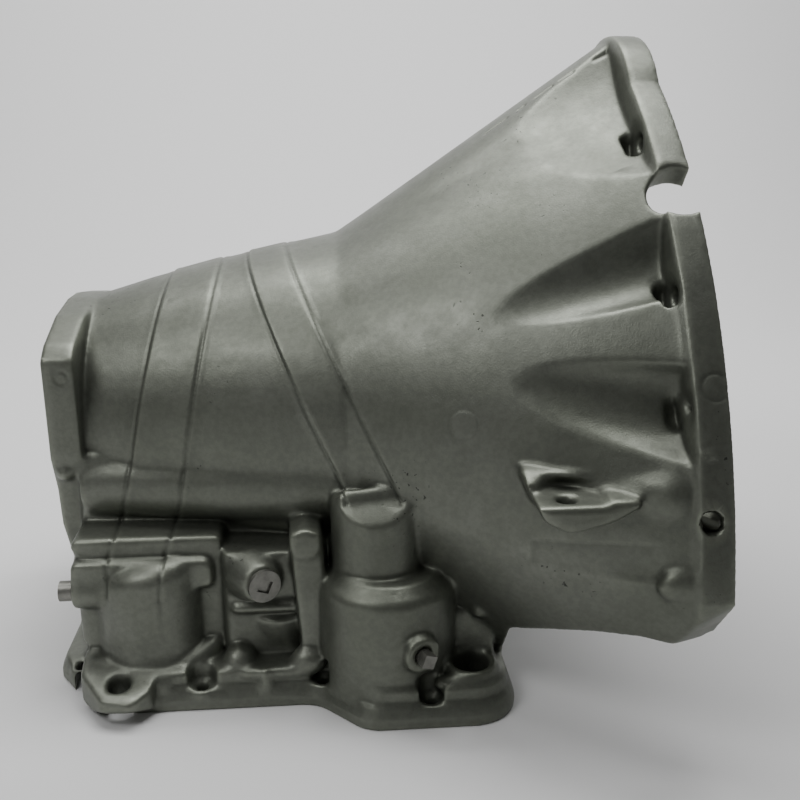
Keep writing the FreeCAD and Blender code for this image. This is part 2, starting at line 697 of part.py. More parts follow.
def guide_cap():
    """Guide cylinder of the front servo: a ridge on top and a sloping face to the right."""
    gx, gy = guide_place
    post = leaning_post(guide_place, guide_r, front_servo_top - guide_foot, guide_top, guide_lean,
                        guide_round)
    face = box(-2 * guide_r, 2 * guide_r, -3 * guide_r, 0, 0, 2 * guide_r)
    face.rotate(V(0, 0, 0), V(1, 0, 0), guide_slant)
    face.rotate(V(0, 0, 0), V(0, 1, 0), -guide_lean)
    face.translate(V(gx, guide_ridge_y, guide_top))
    return post.cut(face)


def servo_side():
    """Servo cylinders, ledge, port block, ribs and lugs on the right of the case."""
    x, y = front_servo
    front = domed_post(front_servo, front_servo_r, rail_top_z, front_servo_top, shoulder_r)
    half = front_servo_r - web_inset
    front_web = box(x - half, x + half, y, 0, rail_top_z, front_servo_top - over)
    step_post = domed_post(front_servo, servo_step_r, front_servo_top - shoulder_r,
                           front_servo_top + servo_step_h, servo_step_h)
    wall_back = box(x - servo_web_half, x + servo_web_half, y + shoulder_r, 0,
                    front_servo_top - web_inset, servo_web_top)
    gx, gy = guide_place
    half = guide_r - web_inset
    guide_web = box(gx - half, gx + half, gy + over, 0, front_servo_top - guide_foot,
                    guide_top - guide_web_drop)
    guide = guide_cap().fuse(guide_web)
    rx, ry = rear_servo
    rear = leaning_post(rear_servo, rear_servo_r, rail_top_z, rear_servo_top, rear_servo_lean,
                        rear_servo_round)
    flare = Part.makeCone(rear_servo_r + servo_flare, rear_servo_r - over, servo_flare_h,
                          V(rx, ry, rail_top_z))
    drop = rear_servo_r * math.tan(math.radians(rear_servo_lean))
    half = rear_servo_r - web_inset
    rear_web = box(rx - half, rx + half, ry, 0, rail_top_z,
                   rear_servo_top - drop - rear_servo_round)
    return [front, front_web, step_post, wall_back, guide, rear, flare, rear_web]


def ledge_and_port():
    """Stepped ledge with its oil gallery, and the block that carries the line port."""
    low, top = ledge_z
    low_r, front_r, rear_r = ledge_r
    ledge = side_plate([(block_rear_x, low, low_r), (ledge_front_x, low, low_r),
                        (ledge_front_x, top, front_r), (block_rear_x, top, rear_r)], ledge_y, 0)
    strip_low, strip_top = ledge_strip_z
    strip_x = ledge_front_x + ledge_strip_run
    r = ledge_strip_r
    strip = side_plate([(block_rear_x, strip_low, r), (strip_x, strip_low, r),
                        (strip_x, strip_top, r), (block_rear_x, strip_top, r)], ledge_strip_y, 0)
    rear_r, low_r, front_r = ledge_groove_r
    root_x, root_top = block_rear_x + web_inset, strip_top - web_inset
    root = side_plate([(root_x, low, rear_r), (strip_x, low, low_r), (strip_x, root_top, front_r),
                       (root_x, root_top, rear_r)], ledge_groove_y, 0)
    pipe = rod((block_rear_x - over, *gallery), (1, 0, 0), gallery_r,
               gallery_front_x - block_rear_x + over)
    x0, x1 = port_block_x
    r = port_block_r
    block = slab([(x0, port_block_y, r), (x1, port_block_y, r), (x1, 0, r), (x0, 0, r)],
                 rail_top_z, block_top_z + port_block_proud)
    boss = Part.makeCone(*port_boss_r, port_boss_length, V(*port_place), V(*port_axis()))
    web = Part.makeCone(*port_web_r, port_web_top - rail_top_z,
                        V(port_place[0] + port_web_shift, port_block_y + port_boss_r[0],
                          rail_top_z))
    rib_x0, rib_x1 = web_rib_x
    lean0, lean1 = web_rib_lean
    rib = side_plate([(rib_x0 + lean0, rail_top_z, 0), (rib_x1 + lean1, rail_top_z, 0),
                      (rib_x1, web_rib_z, web_rib_r), (rib_x0, web_rib_z, web_rib_r)],
                     web_rib_y, 0)
    px, pz = pad_place
    pad = rod((px, web_rib_y - pad_proud, pz), (0, 1, 0), pad_r, -web_rib_y)
    pad_head = box(px - pad_r, px + pad_r, web_rib_y - pad_proud, 0, pz, pz + pad_r - pad_proud)
    return [ledge, strip, root, pipe, block, boss, web, rib, pad, pad_head]


def port_axis():
    """Outward direction of the line port."""
    turn = math.radians(port_turn)
    return (math.sin(turn), -math.cos(turn), 0.0)


def tap_axis():
    """Outward direction of the front servo's pressure tap."""
    turn = math.radians(servo_tap_angle)
    return (math.sin(turn), -math.cos(turn), 0.0)


def tap_face():
    """Centre of the machined face of the pressure tap."""
    x, y = front_servo
    return along((x, y, servo_tap_z), tap_axis(), front_servo_r + tap_boss_length)


def corner_features():
    """Front flank with the filler-tube boss, rear lug, pressure tap and barrel swell."""
    rear_r, slope_r = flank_r
    flank = side_plate([(flank_rear_x, rail_top_z, 0),
                        (block_front_x + web_inset, rail_top_z, 0),
                        (block_front_x - web_inset, flank_top_z - flank_fall, slope_r),
                        (flank_rear_x + flank_slope_x, flank_top_z, slope_r),
                        (flank_rear_x, flank_top_z, rear_r)], flank_y, 0)
    tx, ty = tube_place
    tube = rod((tx, ty, rail_top_z), (0, 0, 1), tube_boss_r, tube_top - rail_top_z)
    half = tube_boss_r - web_inset
    tube_web = box(tx - half, tx + half, ty, 0, rail_top_z, tube_top - web_inset)
    x_all = [corner[0] for corner in lug_outline]
    lug = slab(lug_outline, rail_z, reach).common(
        cross_plate(sharp(lug_profile), min(x_all), max(x_all)))
    ax, ay, az = tap_axis()
    length = tap_boss_length + tap_boss_root
    tap = rod(along(tap_face(), (-ax, -ay, -az), length), tap_axis(), tap_boss_r, length)
    swells = [swell(side) for side in (-1, 1)]
    return [flank, tube, tube_web, lug, tap] + swells


def swell(side):
    """Tapering rounded swell along the lower barrel; side is -1 on the right, 1 on the left."""
    y0, z0, r0 = swell_rear
    y1, z1, r1 = swell_front
    rear = V(rear_x + rear_flange_t, -side * y0, z0)
    run = V(swell_front_x, -side * y1, z1) - rear
    cone = Part.makeCone(r0, r1, run.Length, rear, run)
    cone.rotate(rear, run, seam_turn)
    return cone


def servo_cuts():
    """Bores that open to the pan, the port and gallery drillings, and the lug holes."""
    fx, fy = front_servo
    gx, gy = guide_place
    rx, ry = rear_servo
    tx, ty = tube_place
    lx, ly = lug_hole
    ax, ay, az = port_axis()
    bx, by, bz = tap_axis()
    port_face = along(port_place, port_axis(), port_boss_length)
    guide_low_z = front_servo_top - servo_roof - 2 * over
    drill = plug_r + plug_clearance
    return [
        rod((fx, fy, rail_z - over), (0, 0, 1), front_servo_bore,
            front_servo_top - servo_roof - rail_z + over),
        rod((gx, gy, guide_low_z), (0, 0, 1), guide_bore, guide_top - guide_roof - guide_low_z),
        rod((rx, ry, rail_z - over), (0, 0, 1), rear_servo_bore,
            rear_servo_top - wall - rail_z + over),
        rod((tx, ty, rail_z - over), (0, 0, 1), tube_r, tube_top - rail_z + 2 * over),
        rod((lx, ly, rail_z - over), (0, 0, 1), lug_hole_r, lug_profile[0][1] - rail_z),
        rod(port_face, (-ax, -ay, -az), drill, plug_length + plug_run),
        rod(tap_face(), (-bx, -by, -bz), drill, servo_tap_depth),
        rod((block_rear_x - over, *gallery), (1, 0, 0), drill,
            gallery_front_x - gallery_end - block_rear_x + over)]


# ---------------------------------------------------------------- bell lug
def bell_lug():
    """Shelf on the right flank of the bell with a spot-faced upright hole."""
    x0 = bell_lug_x - bell_lug_half
    shelf = side_plate([(bell_lug_x + x, bell_lug_z + z, r) for x, z, r in bell_lug_side],
                       *bell_lug_y)
    keep = rod((bell_lug_x, bell_lug_hole_y, -reach), (0, 0, 1), bell_lug_r, 2 * reach)
    gusset = box(bell_lug_x, gusset_front_x + over, bell_lug_y[0] - over, 0, -reach, reach)
    root = box(x0 - over, gusset_front_x + over, bell_lug_full_y, 0, -reach, reach)
    under = [(bell_lug_shoulder[-1][0], -reach), (bell_lug_shoulder[0][0], -reach)]
    fall = cross_plate(sharp(bell_lug_shoulder + under), x0 - over, gusset_front_x + over)
    return shelf.common(keep.fuse([gusset, root])).common(fall)


def bell_lug_cuts():
    """Spot face and hole of the bell lug."""
    arc = rod((bell_lug_x, bell_lug_hole_y, bell_lug_z), (0, 0, 1), bell_lug_face_r,
              bell_lug_clear)
    ahead = box(-reach, bell_lug_x + bell_lug_face_r, -reach, bell_lug_hole_y, bell_lug_z,
                bell_lug_z + bell_lug_clear)
    face = arc.fuse(ahead)
    low_z = bell_lug_z - bell_lug_drop - bell_lug_drill_run
    hole = rod((bell_lug_x, bell_lug_hole_y, low_z), (0, 0, 1), bell_lug_hole_r,
               bell_lug_z + 2 * over - low_z)
    return [face, hole]


# ---------------------------------------------------------------- linkage side
def left_bosses():
    """Bosses of the manual lever, switch, cooler lines, governor tap, adjuster and starter."""
    solids = []
    for (x, z), r in ((lever_place, lever_boss_r), (switch_place, switch_boss_r)):
        solids.append(rod((x, 0, z), (0, 1, 0), r, lever_boss_y))
    for x, z in cooler_places:
        solids.append(rod((x, 0, z), (0, 1, 0), cooler_boss_r, cooler_boss_y))
    x, z = governor_place
    solids.append(rod((x, 0, z), (0, 1, 0), tap_boss_r, cooler_boss_y))
    x, z = adjuster_place
    solids.append(rod((x, 0, z), (0, 1, 0), adjuster_boss_r, adjuster_boss_y))
    y, z = starter_place
    solids.append(rod((starter_pad_x, y, z), (1, 0, 0), starter_boss_r, -starter_pad_x))
    for side in (-1, 1):
        solids.append(rod((starter_pad_x, y, z + side * starter_bolt_gap), (1, 0, 0),
                          starter_ear_r, -starter_pad_x))
    return solids


def left_cuts():
    """Bores of the left side, each from its machined face inward."""
    cuts = []
    x, z = lever_place
    cuts.append(rod((x, block_left_y - wall - 2 * over, z), (0, 1, 0), lever_shaft_r, reach))
    cuts.append(rod((x, lever_boss_y - seal_depth, z), (0, 1, 0), seal_r, reach))
    x, z = switch_place
    cuts.append(rod((x, block_left_y - wall - 2 * over, z), (0, 1, 0), switch_r, reach))
    for x, z in cooler_places:
        cuts.append(rod((x, cooler_boss_y - cooler_depth, z), (0, 1, 0), cooler_r, reach))
    x, z = governor_place
    cuts.append(rod((x, cooler_boss_y - plug_length - plug_run, z), (0, 1, 0), plug_r + plug_clearance,
                    reach))
    x, z = adjuster_place
    cuts.append(rod((x, adjuster_tip_y - over, z), (0, 1, 0), adjuster_r + plug_clearance, reach))
    y, z = starter_place
    cuts.append(rod((starter_pad_x - over, y, z), (1, 0, 0), starter_r,
                    2 * over - starter_pad_x))
    for side in (-1, 1):
        cuts.append(rod((starter_pad_x - over, y, z + side * starter_bolt_gap), (1, 0, 0),
                        starter_bolt_r, 2 * over - starter_pad_x))
    return cuts


# ---------------------------------------------------------------- pins and their slots
def pin_cuts():
    """Pin drillings and the slots through the floor where the band levers work."""
    drill = pin_r + plug_clearance
    cuts = []
    y, z = kickdown_pin
    cuts.append(rod((kickdown_pin_x[0], y, z), (1, 0, 0), drill,
                    pump_seat_x - kickdown_pin_x[0] + over))
    cuts.append(box(*kickdown_slot_x, y + slot_y[0], y + slot_y[1], sump_top_z - over, z + slot_top))
    y, z = reverse_pin
    cuts.append(rod((rear_x - over, y, z), (1, 0, 0), drill, reverse_pin_x[1] - rear_x + over))
    cuts.append(box(*reverse_slot_x, y + slot_y[0], y + slot_y[1], sump_top_z - over, z + slot_top))
    screw_x = rear_x + rear_wall + cam_width / 2
    cuts.append(rod((screw_x, 0, sump_top_z - over), (0, 0, 1), set_screw_r + plug_clearance,
                    -cam_outer_r - sump_top_z + 2 * over))
    return cuts


def case():
    """The whole casting as one solid."""
    solids = [barrel_solid(0, rear_x + rear_flange_t / 2, barrel_x + barrel_join), rear_flange()]
    solids += raised_bands() + sump_body() + servo_side() + ledge_and_port()
    solids += corner_features() + [bell_lug()] + left_bosses()
    casting = bell_body().fuse(solids)
    pump_holes = ring_of_holes(pump_seat_x, -1, pump_bolt_angles, pump_bolt_pcd, pump_bolt_r,
                               pump_bolt_depth)
    rear_holes = ring_of_holes(rear_x, 1, [(i + 0.5) * 360 / rear_bolts for i in range(rear_bolts)],
                               rear_bolt_pcd, rear_bolt_r, rear_bolt_depth)
    ahead = box(0, reach, -reach, reach, -reach, reach)
    for cuts in ([bell_cavity()], [barrel_cavity()], [sump_cavity()], [ahead], left_cuts(),
                 rail_cuts(), servo_cuts(), pin_cuts(), bell_lug_cuts(), engine_face_cuts(),
                 pump_holes + rear_holes):
        casting = casting.cut(cuts)
    return casting


# ---------------------------------------------------------------- fitted pieces
def square_plug(face, direction):
    """Pipe plug whose square head stands on the machined face of its port."""
    shank = rod(along(face, direction, -plug_length), direction, plug_r, plug_length)
    return shank.fuse(square_bar(face, direction, plug_square, plug_square_h))


def servo_pressure_plug():
    """Square-headed plug in the front servo's pressure tap."""
    return square_plug(tap_face(), tap_axis())


def governor_pressure_plug():
    """Square-headed plug in the governor tap on the left."""
    x, z = governor_place
    return square_plug((x, cooler_boss_y, z), (0, 1, 0))


def line_pressure_plug():
    """Plug with a round head and a square socket in the line port."""
    face = along(port_place, port_axis(), port_boss_length)
    shank = rod(along(face, port_axis(), -plug_length), port_axis(), plug_r, plug_length)
    head = rod(face, port_axis(), socket_plug_r, socket_plug_t)
    socket = square_bar(along(face, port_axis(), socket_floor), port_axis(), socket_square, socket_plug_t)
    return shank.fuse(head).cut(socket)


def rear_gallery_plug():
    """Round-headed plug that closes the gallery at the rear of the ledge."""
    face = (block_rear_x - over, *gallery)
    shank = rod(along(face, (1, 0, 0), plug_length), (-1, 0, 0), plug_r, plug_length)
    return shank.fuse(rod(face, (-1, 0, 0), gallery_plug_r, gallery_plug_h))


def clutch_cam():
    """Steel ring of the roller clutch: a smooth outside and scalloped roller ramps inside."""
    x = rear_x + rear_wall
    ring = rod((x, 0, 0), (1, 0, 0), cam_outer_r, cam_width)
    run = cam_width + 2 * over
    cuts = [rod((x - over, 0, 0), (1, 0, 0), cam_inner_r, run)]
    for i in range(cam_rollers):
        angle = 2 * math.pi * (i + 0.5) / cam_rollers
        cuts.append(rod((x - over, cam_inner_r * math.cos(angle), cam_inner_r * math.sin(angle)),
                        (1, 0, 0), cam_roller_r, run))
    return ring.cut(cuts)


def cam_set_screw():
    """Headless screw that stops the cam from turning, driven up through the floor."""
    x = rear_x + rear_wall + cam_width / 2
    return rod((x, 0, -cam_outer_r), (0, 0, -1), set_screw_r, set_screw_length)


def kickdown_lever_pin():
    """Pivot of the front band lever."""
    return rod((kickdown_pin_x[0], *kickdown_pin), (1, 0, 0), pin_r,
               kickdown_pin_x[1] - kickdown_pin_x[0])


def reverse_lever_pin():
    """Pivot of the rear band lever."""
    return rod((reverse_pin_x[0], *reverse_pin), (1, 0, 0), pin_r,
               reverse_pin_x[1] - reverse_pin_x[0])


def reverse_pin_plug():
    """Disc that closes the rear pin's drilling, level with the extension face."""
    return rod((rear_x, *reverse_pin), (1, 0, 0), pin_r, pin_plug_t)


def band_adjusting_screw():
    """Front band's adjusting screw with its square end."""
    x, z = adjuster_place
    end_y = adjuster_boss_y + adjuster_stand
    thread = rod((x, adjuster_tip_y, z), (0, 1, 0), adjuster_r,
                 end_y - adjuster_square_h - adjuster_tip_y)
    return thread.fuse(square_bar((x, end_y - adjuster_square_h, z), (0, 1, 0), adjuster_square,
                                  adjuster_square_h))


def adjuster_lock_nut():
    """Hexagon nut that locks the adjusting screw against its boss."""
    x, z = adjuster_place
    face = (x, adjuster_boss_y, z)
    nut = hexagon(face, (0, 1, 0), nut_flats, nut_t)
    return nut.cut(rod(along(face, (0, 1, 0), -over), (0, 1, 0), adjuster_r + plug_clearance,
                       nut_t + 2 * over))


def manual_shaft_seal():
    """Lip seal pressed into the mouth of the manual lever bore."""
    x, z = lever_place
    seat = (x, lever_boss_y - seal_depth, z)
    ring = rod(seat, (0, 1, 0), seal_r, seal_depth)
    return ring.cut(rod(along(seat, (0, 1, 0), -over), (0, 1, 0), lever_shaft_r,
                        seal_depth + 2 * over))


def main():
    pieces = [case, servo_pressure_plug, governor_pressure_plug, line_pressure_plug,
              rear_gallery_plug, clutch_cam, cam_set_screw, kickdown_lever_pin,
              reverse_lever_pin, reverse_pin_plug, band_adjusting_screw, adjuster_lock_nut,
              manual_shaft_seal]
    os.makedirs("parts", exist_ok=True)
    for piece in pieces:
        shape = piece()
        shape.exportStep("parts/" + piece.__name__ + ".step")
        print(piece.__name__, len(shape.Solids), shape.isValid(), round(shape.Volume))


main()
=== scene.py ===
"""Dressing of the gearbox housing: the casting with its cast fillets, raised straps, ribs and
bosses, and the steel pieces that stay in it."""
import bpy, bmesh, math
import numpy as np
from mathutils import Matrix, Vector


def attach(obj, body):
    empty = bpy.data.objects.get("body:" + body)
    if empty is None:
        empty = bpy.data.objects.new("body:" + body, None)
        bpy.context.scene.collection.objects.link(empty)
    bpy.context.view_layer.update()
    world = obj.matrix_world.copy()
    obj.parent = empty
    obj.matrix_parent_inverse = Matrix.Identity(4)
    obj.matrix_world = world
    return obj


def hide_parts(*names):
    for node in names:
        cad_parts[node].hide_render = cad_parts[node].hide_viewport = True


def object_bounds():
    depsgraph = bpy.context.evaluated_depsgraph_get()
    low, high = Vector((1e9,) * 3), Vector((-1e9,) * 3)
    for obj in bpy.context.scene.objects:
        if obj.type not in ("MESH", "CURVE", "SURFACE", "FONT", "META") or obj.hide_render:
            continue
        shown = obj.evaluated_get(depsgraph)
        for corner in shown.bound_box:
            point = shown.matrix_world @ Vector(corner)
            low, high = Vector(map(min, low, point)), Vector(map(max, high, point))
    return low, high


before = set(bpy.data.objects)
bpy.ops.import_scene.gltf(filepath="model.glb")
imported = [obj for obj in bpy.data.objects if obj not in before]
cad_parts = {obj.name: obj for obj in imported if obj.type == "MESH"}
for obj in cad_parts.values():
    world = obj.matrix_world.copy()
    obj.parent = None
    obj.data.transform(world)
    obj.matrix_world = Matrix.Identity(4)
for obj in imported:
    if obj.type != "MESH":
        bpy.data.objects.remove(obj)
cad_low, cad_high = [Vector(corner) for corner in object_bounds()]
MM = 0.001

# Camera: places in metres, lens in millimetres.
EYE = (-0.2194, -0.6790, 0.2019)
AIM = (-0.160, 0.0, 0.0)
LENS = 42.75
SENSOR = 36.0

# Lamps: place, the point they face, size and watts.  The wall lamp faces the backdrop.
LAMPS = {"key": ((-0.80, -0.50, 0.85), (-0.25, 0.0, 0.0), (0.45, 0.45), 3.8),
         "front": ((-0.85, -0.95, -0.02), (-0.33, -0.10, -0.08), (0.4, 0.3), 0.4),
         "wall": ((-0.15, 0.55, 1.6), (-0.15, 1.6, 0.5), (2.4, 0.4), 40.0),
         "top": ((-0.10, 0.10, 1.35), (-0.15, 0.0, 0.0), (1.0, 0.7), 14.0)}
WORLD_LIGHT = 0.10

# Floor that bends up into a wall behind the case, in metres.
FLOOR_FRONT_Y = -2.5
WALL_Y = 1.6
WALL_TOP = 3.0
FLOOR_BEND = 0.8
FLOOR_HALF = 4.0

# Colours, linear.
FLOOR_PAINT = (0.72, 0.72, 0.72)
CAST_DARK = (0.140, 0.150, 0.123)
CAST_LIGHT = (0.180, 0.190, 0.162)
PIT_COLOUR = (0.05, 0.052, 0.045)
PLATED_DARK, PLATED_LIGHT = (0.16, 0.16, 0.145), (0.26, 0.26, 0.235)
BRIGHT_DARK, BRIGHT_LIGHT = (0.38, 0.38, 0.37), (0.5, 0.5, 0.49)

# Skin of the casting: cell of the even mesh in metres, rounds of easing, and rounds that even
# out how it bends.
CELL = (0.0012, 0.0026)
EASING_ROUNDS = (22, 5)
BEND_ROUNDS = (6, 2)
CAST_EASING = 0.5              # share of the way to the mean of the neighbours, each round
MACHINED_EASING = 0.2
BEND_RANGE = 0.00022           # metres of drift from a plain face to the sharpest edge
FINE_DETAIL = 0.45             # above this share of relief a place isn't thinned
MOST_TRIANGLES = 193000
SHARP_ANGLE = 50               # degrees

# Machined faces, in metres: everything past these places lies on one of them.
ENGINE_FACE_X = -0.0007
EXTENSION_FACE_X = -0.3912
EXTENSION_LOW_Z = -0.12
PAN_FACE_Z = -0.1542


def full_or_quick(pair):
    """The full value of a pair, its first; the quick one is not used."""
    return pair[0]


# ------------------------------------------------------------------ camera, light and floor
def facing(obj, place, aim):
    """Stands an object at a place and turns it to face a point."""
    obj.location = place
    obj.rotation_mode = "QUATERNION"
    obj.rotation_quaternion = (Vector(aim) - Vector(place)).to_track_quat("-Z", "Y")
    bpy.context.collection.objects.link(obj)


def set_camera():
    """Camera on the right of the case, a little ahead of square and above the shaft."""
    data = bpy.data.cameras.new("view")
    data.lens = LENS
    data.sensor_width = SENSOR
    data.clip_start = 0.01
    camera = bpy.data.objects.new("view", data)
    facing(camera, EYE, AIM)
    bpy.context.scene.camera = camera


def area_light(name, place, aim, size, watts):
    """Soft rectangular lamp at a place, facing a point."""
    data = bpy.data.lights.new(name, "AREA")
    data.shape = "RECTANGLE"
    data.size, data.size_y = size
    data.energy = watts
    facing(bpy.data.objects.new(name, data), place, aim)


def set_lamps():
    """Pale surroundings, three soft lamps and one for the backdrop."""
    world = bpy.data.worlds.new("studio")
    world.use_nodes = True
    back = world.node_tree.nodes["Background"]
    back.inputs["Color"].default_value = (1.0, 1.0, 1.0, 1.0)
    back.inputs["Strength"].default_value = WORLD_LIGHT
    bpy.context.scene.world = world
    for name, (place, aim, size, watts) in LAMPS.items():
        area_light(name, place, aim, size, watts)


def lay_floor():
    """Pale floor: a straight run, a quarter circle (y + r sin t, r - r cos t) and a wall, each
    line of it carried straight across."""
    turn = np.linspace(0.0, math.pi / 2, 25)
    depth = np.concatenate([[FLOOR_FRONT_Y], WALL_Y - FLOOR_BEND + FLOOR_BEND * np.sin(turn),
                            [WALL_Y]])
    height = np.concatenate([[0.0], FLOOR_BEND - FLOOR_BEND * np.cos(turn), [WALL_TOP]]) + cad_low.z
    across = np.array([-FLOOR_HALF, FLOOR_HALF])
    grid = np.stack([np.tile(across, len(depth)), np.repeat(depth, 2), np.repeat(height, 2)], 1)
    step = 2 * np.arange(len(depth) - 1)[:, None]
    mesh = bpy.data.meshes.new("floor")
    mesh.from_pydata(grid.tolist(), [], (step + np.array([0, 1, 3, 2])).tolist())
    mesh.shade_smooth()
    floor = bpy.data.objects.new("floor", mesh)
    bpy.context.collection.objects.link(floor)
    mesh.materials.append(floor_finish())


# ------------------------------------------------------------------ finishes
def grey(value):
    """A grey as a colour."""
    return (value, value, value)


class Finish:
    """Small helper that adds and links shader nodes."""

    def __init__(self, name):
        self.material = bpy.data.materials.new(name)
        self.material.use_nodes = True
        self.tree = self.material.node_tree
        self.shader = self.tree.nodes["Principled BSDF"]
        self.place = self.add("ShaderNodeTexCoord").outputs["Object"]

    def add(self, kind, **values):
        """A node of a kind with its settings."""
        node = self.tree.nodes.new(kind)
        for key, value in values.items():
            setattr(node, key, value)
        return node

    def link(self, source, target):
        """Links an output to an input."""
        self.tree.links.new(source, target)

    def noise(self, scale, detail=4.0, rough=0.55):
        """Noise on object coordinates, scale in cells a metre."""
        node = self.add("ShaderNodeTexNoise")
        node.inputs["Scale"].default_value = scale
        node.inputs["Detail"].default_value = detail
        node.inputs["Roughness"].default_value = rough
        self.link(self.place, node.inputs["Vector"])
        return node.outputs["Fac"]

    def ramp(self, source, *stops):
        """Colours at places along 0 to 1."""
        node = self.add("ShaderNodeValToRGB")
        band = node.color_ramp
        while len(band.elements) < len(stops):
            band.elements.new(0.5)
        for element, (where, colour) in zip(band.elements, stops):
            element.position = where
            element.color = (*colour, 1.0)
        self.link(source, node.inputs["Fac"])
        return node.outputs["Color"]

    def mix(self, factor, one, two, blend="MIX"):
        """Mix of two colours; each value is a number, a colour or an output."""
        node = self.add("ShaderNodeMix", data_type="RGBA", blend_type=blend)
        for value, socket in ((factor, node.inputs[0]), (one, node.inputs[6]),
                              (two, node.inputs[7])):
            if isinstance(value, (int, float)):
                socket.default_value = value
            elif isinstance(value, tuple):
                socket.default_value = (*value, 1.0)
            else:
                self.link(value, socket)
        return node.outputs[2]

    def bump(self, height, strength, distance, under=None):
        """Bump of a height, laid over another one."""
        node = self.add("ShaderNodeBump")
        node.inputs["Strength"].default_value = strength
        node.inputs["Distance"].default_value = distance
        self.link(height, node.inputs["Height"])
        if under is not None:
            self.link(under, node.inputs["Normal"])
        return node.outputs["Normal"]


def floor_finish():
    """Plain pale matt paint."""
    f = Finish("pale_floor")
    f.shader.inputs["Base Color"].default_value = (*FLOOR_PAINT, 1.0)
    f.shader.inputs["Roughness"].default_value = 0.9
    return f.material


def cast_finish():
    """Blasted cast aluminium: satin grey-green metal with fine grain, soft stains and pits,
    with painted shade in the creases and a painted highlight on the edges."""
    f = Finish("cast_aluminium")
    tone = f.ramp(f.noise(9.0, 5.0, 0.6), (0.35, CAST_DARK), (0.65, CAST_LIGHT))
    fine = f.ramp(f.noise(260.0, 3.0, 0.6), (0.38, grey(0.88)), (0.62, grey(1.0)))
    metal = f.mix(1.0, tone, fine, "MULTIPLY")
    bend_for_painted_light = f.add("ShaderNodeAttribute", attribute_name="bend_for_painted_light").outputs["Fac"]
    # painted shade and highlight: the colour is darkened in creases and lightened on edges, from how
    # the skin bends
    crease = f.ramp(bend_for_painted_light, (0.0, (0.30, 0.30, 0.28)), (0.42, grey(0.92)), (0.58, grey(1.0)),
                    (1.0, (1.45, 1.45, 1.42)))
    metal = f.mix(1.0, metal, crease, "MULTIPLY")
    pit = f.noise(420.0, 1.0, 0.4)
    patch = f.ramp(f.noise(16.0, 2.0, 0.5), (0.60, grey(0.0)), (0.68, grey(1.0)))
    spots = f.ramp(pit, (0.0, grey(1.0)), (0.26, grey(1.0)), (0.30, grey(0.0)))
    spots = f.mix(1.0, spots, patch, "MULTIPLY")
    f.link(f.mix(spots, metal, PIT_COLOUR), f.shader.inputs["Base Color"])
    rough = f.ramp(f.noise(60.0, 4.0, 0.6), (0.3, grey(0.38)), (0.7, grey(0.50)))
    f.link(rough, f.shader.inputs["Roughness"])
    f.shader.inputs["Metallic"].default_value = 0.75
    grain = f.bump(f.noise(900.0, 2.0, 0.5), 0.22, 0.0004)
    swell = f.bump(f.noise(70.0, 3.0, 0.5), 0.10, 0.0015, grain)
    f.link(f.bump(spots, 0.35, -0.0006, swell), f.shader.inputs["Normal"])
    return f.material


def steel_finish(name, dark, light, rough):
    """Plated steel with light wear."""
    f = Finish(name)
    f.link(f.ramp(f.noise(140.0), (0.3, dark), (0.7, light)), f.shader.inputs["Base Color"])
    f.shader.inputs["Metallic"].default_value = 0.9
    f.shader.inputs["Roughness"].default_value = rough
    f.link(f.bump(f.noise(700.0, 2.0), 0.15, 0.0003), f.shader.inputs["Normal"])
    return f.material


def rubber_finish():
    """Black nitrile rubber."""
    f = Finish("seal_rubber")
    f.link(f.ramp(f.noise(200.0, 3.0), (0.3, grey(0.012)), (0.7, grey(0.03))),
           f.shader.inputs["Base Color"])
    f.shader.inputs["Roughness"].default_value = 0.6
    f.link(f.bump(f.noise(900.0, 2.0), 0.1, 0.0002), f.shader.inputs["Normal"])
    return f.material


# ------------------------------------------------------------------ mesh arrays
def vertices_of(mesh):
    """Vertex places as an (n, 3) array."""
    flat = np.empty(len(mesh.vertices) * 3, np.float32)
    mesh.vertices.foreach_get("co", flat)
    return flat.reshape(-1, 3).astype(np.float64)


def set_vertices(mesh, places):
    """Writes vertex places back."""
    mesh.vertices.foreach_set("co", places.astype(np.float32).ravel())
    mesh.update()


def normals_of(mesh):
    """Vertex normals as an (n, 3) array."""
    flat = np.empty(len(mesh.vertices) * 3, np.float32)
    mesh.vertex_normals.foreach_get("vector", flat)
    return flat.reshape(-1, 3).astype(np.float64)


def neighbours(mesh):
    """The two ends of every edge, and how many edges each vertex has."""
    flat = np.empty(len(mesh.edges) * 2, np.int32)
    mesh.edges.foreach_get("vertices", flat)
    a, b = flat.reshape(-1, 2).T
    count = len(mesh.vertices)
    return a, b, np.bincount(a, minlength=count) + np.bincount(b, minlength=count)


def applied(obj):
    """Puts the result of the object's modifiers into its mesh."""
    graph = bpy.context.evaluated_depsgraph_get()
    made = bpy.data.meshes.new_from_object(obj.evaluated_get(graph))
    old = obj.data
    obj.modifiers.clear()
    obj.data = made
    bpy.data.meshes.remove(old)


def merged_copy(node, name):
    """A copy of a CAD node's mesh with its loose corners joined."""
    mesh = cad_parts[node].data.copy()
    edit = bmesh.new()
    edit.from_mesh(mesh)
    bmesh.ops.remove_doubles(edit, verts=edit.verts, dist=2e-6)
    edit.to_mesh(mesh)
    edit.free()
    mesh.materials.clear()
    obj = bpy.data.objects.new(name, mesh)
    bpy.context.collection.objects.link(obj)
    return obj


def ease(mesh, weight, rounds):
    """Each vertex moves towards the mean of its neighbours by its own share, many times."""
    v = vertices_of(mesh)
    n = len(v)
    a, b, degree = neighbours(mesh)
    share = (weight / np.maximum(degree, 1))[:, None]
    for _ in range(rounds):
        total = np.stack([np.bincount(a, v[b, k], n) + np.bincount(b, v[a, k], n)
                          for k in range(3)], axis=1)
        v += share * (total - degree[:, None] * v)
    set_vertices(mesh, v)


